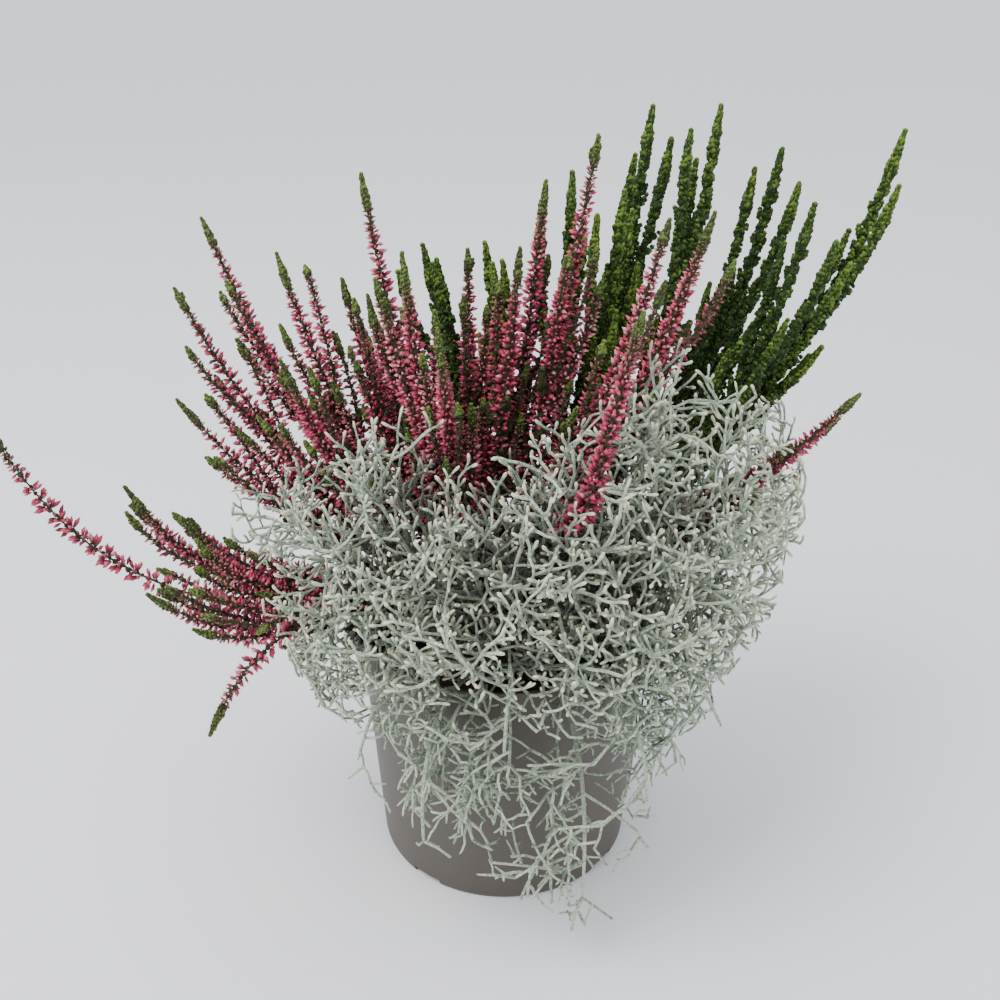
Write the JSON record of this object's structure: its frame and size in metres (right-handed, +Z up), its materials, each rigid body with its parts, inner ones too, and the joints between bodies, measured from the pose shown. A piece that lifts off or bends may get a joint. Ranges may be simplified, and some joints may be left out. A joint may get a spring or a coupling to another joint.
{
  "type": "potted heather",
  "caption": "Mixed heather planting in a round plastic pot: pink bud heather, green heather and silver cushion bush trailing over the rim.",
  "frame": {"origin": "middle of the pot's foot, on the surface that the pot stands on", "axes": "+Z up; -Y towards the front, where the silver bush hangs over the rim; +X to the right seen from the front"},
  "size_m": [0.3447, 0.1957, 0.3101],
  "materials": {
    "pot": "matte grey-brown moulded plastic",
    "soil": "dark crumbly peat soil",
    "pink_heather": "pink flower buds on brownish green stems with green tips",
    "green_heather": "small overlapping green leaves, yellower towards the tips",
    "silver_bush": "woolly silver-grey stems with pale yellow tips"
  },
  "bodies": {
    "root": {"green_heather_stem_01": "green_heather", "green_heather_stem_02": "green_heather", "green_heather_stem_03": "green_heather", "green_heather_stem_04": "green_heather", "green_heather_stem_05": "green_heather", "green_heather_stem_06": "green_heather", "green_heather_stem_07": "green_heather", "green_heather_stem_08": "green_heather", "green_heather_stem_09": "green_heather", "green_heather_stem_10": "green_heather", "green_heather_stem_11": "green_heather", "pink_heather_stem_01": "pink_heather", "pink_heather_stem_02": "pink_heather", "pink_heather_stem_03": "pink_heather", "pink_heather_stem_04": "pink_heather", "pink_heather_stem_05": "pink_heather", "pink_heather_stem_06": "pink_heather", "pink_heather_stem_07": "pink_heather", "pink_heather_stem_08": "pink_heather", "pink_heather_stem_09": "pink_heather", "pink_heather_stem_10": "pink_heather", "pink_heather_stem_11": "pink_heather", "pink_heather_stem_12": "pink_heather", "pink_heather_stem_13": "pink_heather", "pink_heather_stem_14": "pink_heather", "pink_heather_stem_15": "pink_heather", "pink_heather_stem_16": "pink_heather", "pink_heather_stem_17": "pink_heather", "pink_heather_stem_18": "pink_heather", "pink_heather_stem_19": "pink_heather", "pink_heather_stem_20": "pink_heather", "pink_heather_stem_21": "pink_heather", "pink_heather_stem_22": "pink_heather", "pink_heather_stem_23": "pink_heather", "pot": "pot", "silver_bush_stem_01": "silver_bush", "silver_bush_stem_02": "silver_bush", "silver_bush_stem_03": "silver_bush", "silver_bush_stem_04": "silver_bush", "silver_bush_stem_05": "silver_bush", "silver_bush_stem_06": "silver_bush", "silver_bush_stem_07": "silver_bush", "silver_bush_stem_08": "silver_bush", "silver_bush_stem_09": "silver_bush", "silver_bush_stem_10": "silver_bush", "silver_bush_stem_11": "silver_bush", "silver_bush_stem_12": "silver_bush", "silver_bush_stem_13": "silver_bush", "silver_bush_stem_14": "silver_bush", "silver_bush_stem_15": "silver_bush", "silver_bush_stem_16": "silver_bush", "silver_bush_stem_17": "silver_bush", "silver_bush_stem_18": "silver_bush", "soil": "soil"}
  },
  "joints": []
}
